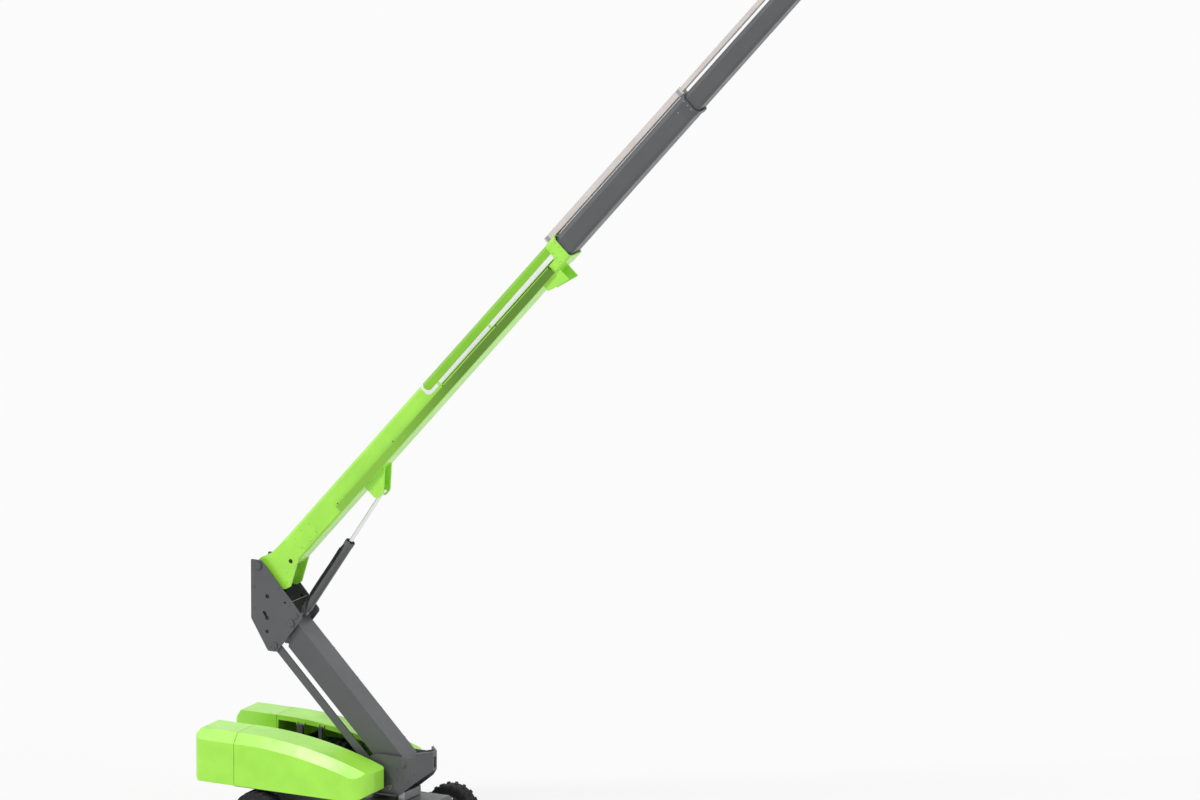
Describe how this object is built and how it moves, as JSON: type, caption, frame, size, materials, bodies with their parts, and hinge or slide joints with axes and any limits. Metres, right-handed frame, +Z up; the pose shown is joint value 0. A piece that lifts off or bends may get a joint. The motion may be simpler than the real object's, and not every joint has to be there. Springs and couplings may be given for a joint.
{
  "type": "articulating boom lift",
  "caption": "Self-propelled articulating boom lift with riser, telescopic main boom, jib and railed work platform on a slewing turntable and wheeled chassis.",
  "frame": {"origin": "on the ground, in the middle of the outer box at rest", "axes": "+X forward the way the booms point, +Y to the left, +Z up"},
  "size_m": [15.7746, 2.49, 19.7655],
  "materials": {
    "black": "satin paint",
    "carrier": "matt sheet",
    "chrome": "polished rod",
    "console": "moulded box",
    "dark_grey": "satin paint",
    "engine": "plain block",
    "green": "satin paint",
    "green_cast": "painted casting",
    "hood_green": "gloss moulded panel",
    "rail": "painted tube",
    "steel": "machined",
    "tyre": "rubber"
  },
  "bodies": {
    "chassis": {"chassis_frame": "dark_grey", "slew_bearing": "steel", "front_axle": "dark_grey", "steering_cylinder": "dark_grey", "rear_axle": "dark_grey"},
    "knuckle_left": {"knuckle_front_left": "dark_grey"},
    "knuckle_right": {"knuckle_front_right": "dark_grey"},
    "steering_rod": {"steering_rod": "chrome"},
    "turntable": {"turntable_frame": "dark_grey", "slew_drive": "steel", "counterweight": "green_cast", "engine": "engine", "radiator": "black", "hydraulic_tank": "black", "fuel_tank": "black"},
    "hood_left": {"hood_left": "hood_green"},
    "hood_right": {"hood_right": "hood_green"},
    "riser": {"riser_boom": "dark_grey"},
    "riser_link": {"riser_link": "dark_grey"},
    "riser_barrel": {"riser_cylinder_barrel": "dark_grey"},
    "riser_rod": {"riser_cylinder_rod": "chrome"},
    "riser_knuckle": {"riser_knuckle": "dark_grey"},
    "lift_barrel": {"lift_cylinder_barrel": "dark_grey"},
    "lift_rod": {"lift_cylinder_rod": "chrome"},
    "boom_base": {"boom_base": "green", "hose_tray": "green"},
    "boom_mid": {"boom_mid": "dark_grey", "mid_carrier_tube": "carrier"},
    "boom_fly": {"boom_fly": "dark_grey", "fly_carrier_tube": "carrier"},
    "level_barrel": {"level_cylinder_barrel": "dark_grey"},
    "level_rod": {"level_cylinder_rod": "chrome"},
    "jib_mount": {"jib_mount": "dark_grey"},
    "jib_arm": {"jib_arm": "dark_grey"},
    "jib_link": {"jib_link": "dark_grey"},
    "jib_barrel": {"jib_cylinder_barrel": "dark_grey"},
    "jib_rod": {"jib_cylinder_rod": "chrome"},
    "platform_mount": {"platform_mount": "dark_grey"},
    "platform": {"platform_floor": "dark_grey", "platform_rails": "rail", "control_console": "console"},
    "platform_gate": {"platform_gate": "rail"},
    "wheel_front_left": {"rim_front_left": "dark_grey", "tyre_front_left": "tyre"},
    "wheel_front_right": {"rim_front_right": "dark_grey", "tyre_front_right": "tyre"},
    "wheel_rear_left": {"rim_rear_left": "dark_grey", "tyre_rear_left": "tyre"},
    "wheel_rear_right": {"rim_rear_right": "dark_grey", "tyre_rear_right": "tyre"}
  },
  "joints": [
    {"name": "wheel_front_left", "type": "hinge", "parent": "knuckle_left", "child": "wheel_front_left", "pos_m": [-3.67227, 1.0675, 0.5075], "axis": [0, 1, 0], "continuous": true},
    {"name": "wheel_front_right", "type": "hinge", "parent": "knuckle_right", "child": "wheel_front_right", "pos_m": [-3.67227, -1.0675, 0.5075], "axis": [0, 1, 0], "continuous": true},
    {"name": "wheel_rear_left", "type": "hinge", "parent": "chassis", "child": "wheel_rear_left", "pos_m": [-6.50227, 1.0675, 0.5075], "axis": [0, 1, 0], "continuous": true},
    {"name": "wheel_rear_right", "type": "hinge", "parent": "chassis", "child": "wheel_rear_right", "pos_m": [-6.50227, -1.0675, 0.5075], "axis": [0, 1, 0], "continuous": true},
    {"name": "steering", "type": "hinge", "parent": "chassis", "child": "knuckle_left", "pos_m": [-3.67227, 0.8175, 0.5075], "axis": [0, 0, 1], "range_deg": [-35, 35]},
    {"name": "steering_right", "type": "hinge", "parent": "chassis", "child": "knuckle_right", "pos_m": [-3.67227, -0.8175, 0.5075], "axis": [0, 0, 1], "range_deg": [-35.05, 35.05]},
    {"name": "steering_rod_slide", "type": "slide", "parent": "chassis", "child": "steering_rod", "axis": [0, 1, 0], "range_m": [-0.09227, 0.09227]},
    {"name": "slew", "type": "hinge", "parent": "chassis", "child": "turntable", "pos_m": [-5.08727, 0, 0.95], "axis": [0, 0, 1], "continuous": true},
    {"name": "hood_left_hinge", "type": "hinge", "parent": "turntable", "child": "hood_left", "pos_m": [-5.58727, 0.392, 1.93], "axis": [1, 0, 0], "range_deg": [0, 50]},
    {"name": "hood_right_hinge", "type": "hinge", "parent": "turntable", "child": "hood_right", "pos_m": [-5.58727, -0.392, 1.93], "axis": [-1, 0, 0], "range_deg": [0, 50]},
    {"name": "riser_lift", "type": "hinge", "parent": "turntable", "child": "riser", "pos_m": [-3.91027, 0, 1.653], "axis": [0, 1, 0], "range_deg": [-40, 25]},
    {"name": "riser_link_turn", "type": "hinge", "parent": "turntable", "child": "riser_link", "pos_m": [-4.26127, 0, 1.193], "axis": [0, 1, 0], "range_deg": [-40.05, 25.05]},
    {"name": "riser_knuckle_level", "type": "hinge", "parent": "riser", "child": "riser_knuckle", "pos_m": [-6.2471, 0, 4.03098], "axis": [0, 1, 0], "range_deg": [-25.05, 40.05]},
    {"name": "riser_cylinder_turn", "type": "hinge", "parent": "turntable", "child": "riser_barrel", "pos_m": [-4.18727, 0, 1.2], "axis": [0, 1, 0], "range_deg": [-38.25, 23.93]},
    {"name": "riser_cylinder_stroke", "type": "slide", "parent": "riser_barrel", "child": "riser_rod", "axis": [-0.6472, 0, 0.7623], "range_m": [-0.3356, 0.20994]},
    {"name": "boom_lift", "type": "hinge", "parent": "riser_knuckle", "child": "boom_base", "pos_m": [-6.9481, 0, 5.03598], "axis": [0, -1, 0], "range_deg": [-48.4, 26.6]},
    {"name": "lift_cylinder_turn", "type": "hinge", "parent": "riser_knuckle", "child": "lift_barrel", "pos_m": [-6.1631, 0, 4.17898], "axis": [0, -1, 0], "range_deg": [-47, 25.85]},
    {"name": "lift_cylinder_stroke", "type": "slide", "parent": "lift_barrel", "child": "lift_rod", "axis": [0.5551, 0, 0.8318], "range_m": [-1.01419, 0.55761]},
    {"name": "boom_extend", "type": "slide", "parent": "boom_base", "child": "boom_mid", "axis": [0.6639, 0, 0.7478], "range_m": [-3.75, 1.1]},
    {"name": "fly_extend", "type": "slide", "parent": "boom_mid", "child": "boom_fly", "axis": [0.6639, 0, 0.7478], "range_m": [-3.7505, 1.1005]},
    {"name": "platform_level", "type": "hinge", "parent": "boom_fly", "child": "jib_mount", "pos_m": [4.85588, 0, 17.9847], "axis": [0, -1, 0], "range_deg": [-26.65, 48.45]},
    {"name": "level_cylinder_turn", "type": "hinge", "parent": "boom_fly", "child": "level_barrel", "pos_m": [4.2334, 0, 17.37395], "axis": [0, -1, 0], "range_deg": [-0.316, 0.534]},
    {"name": "level_cylinder_stroke", "type": "slide", "parent": "level_barrel", "child": "level_rod", "axis": [0.5885, 0, 0.8085], "range_m": [-0.11032, 0.06085]},
    {"name": "jib_lift", "type": "hinge", "parent": "jib_mount", "child": "jib_arm", "pos_m": [4.85588, 0, 17.9847], "axis": [0, -1, 0], "range_deg": [-90, 40]},
    {"name": "jib_link_turn", "type": "hinge", "parent": "jib_mount", "child": "jib_link", "pos_m": [4.89588, 0, 17.7547], "axis": [0, -1, 0], "range_deg": [-90.05, 40.05]},
    {"name": "platform_mount_level", "type": "hinge", "parent": "jib_arm", "child": "platform_mount", "pos_m": [6.41227, 0, 19.07449], "axis": [0, -1, 0], "range_deg": [-40.05, 90.05]},
    {"name": "jib_cylinder_turn", "type": "hinge", "parent": "jib_mount", "child": "jib_barrel", "pos_m": [4.90588, 0, 17.7047], "axis": [0, -1, 0], "range_deg": [-88.25, 39.25]},
    {"name": "jib_cylinder_stroke", "type": "slide", "parent": "jib_barrel", "child": "jib_rod", "axis": [0.766, 0, 0.6428], "range_m": [-0.36178, 0.16107]},
    {"name": "platform_turn", "type": "hinge", "parent": "platform_mount", "child": "platform", "pos_m": [6.81227, 0, 18.64449], "axis": [0, 0, 1], "range_deg": [-90, 90]},
    {"name": "gate_hinge", "type": "hinge", "parent": "platform", "child": "platform_gate", "pos_m": [7.72727, 1.195, 18.64449], "axis": [0, 0, 1], "range_deg": [0, 90]}
  ],
  "couplings": [
    {"joint": "steering_right", "follows": "steering", "ratio": 1},
    {"joint": "steering_rod_slide", "follows": "steering", "m_per_rad": -0.15023},
    {"joint": "riser_link_turn", "follows": "riser_lift", "ratio": 1},
    {"joint": "riser_knuckle_level", "follows": "riser_lift", "ratio": -1},
    {"joint": "riser_cylinder_turn", "follows": "riser_lift", "ratio": 0.955},
    {"joint": "riser_cylinder_stroke", "follows": "riser_lift", "m_per_rad": 0.48},
    {"joint": "lift_cylinder_turn", "follows": "boom_lift", "ratio": 0.97},
    {"joint": "lift_cylinder_stroke", "follows": "boom_lift", "m_per_rad": 1.2},
    {"joint": "fly_extend", "follows": "boom_extend", "ratio": 1},
    {"joint": "platform_level", "follows": "boom_lift", "ratio": -1},
    {"joint": "level_cylinder_turn", "follows": "boom_lift", "ratio": -0.01},
    {"joint": "level_cylinder_stroke", "follows": "boom_lift", "m_per_rad": 0.13},
    {"joint": "jib_link_turn", "follows": "jib_lift", "ratio": 1},
    {"joint": "platform_mount_level", "follows": "jib_lift", "ratio": -1},
    {"joint": "jib_cylinder_turn", "follows": "jib_lift", "ratio": 0.98},
    {"joint": "jib_cylinder_stroke", "follows": "jib_lift", "m_per_rad": 0.23}
  ]
}
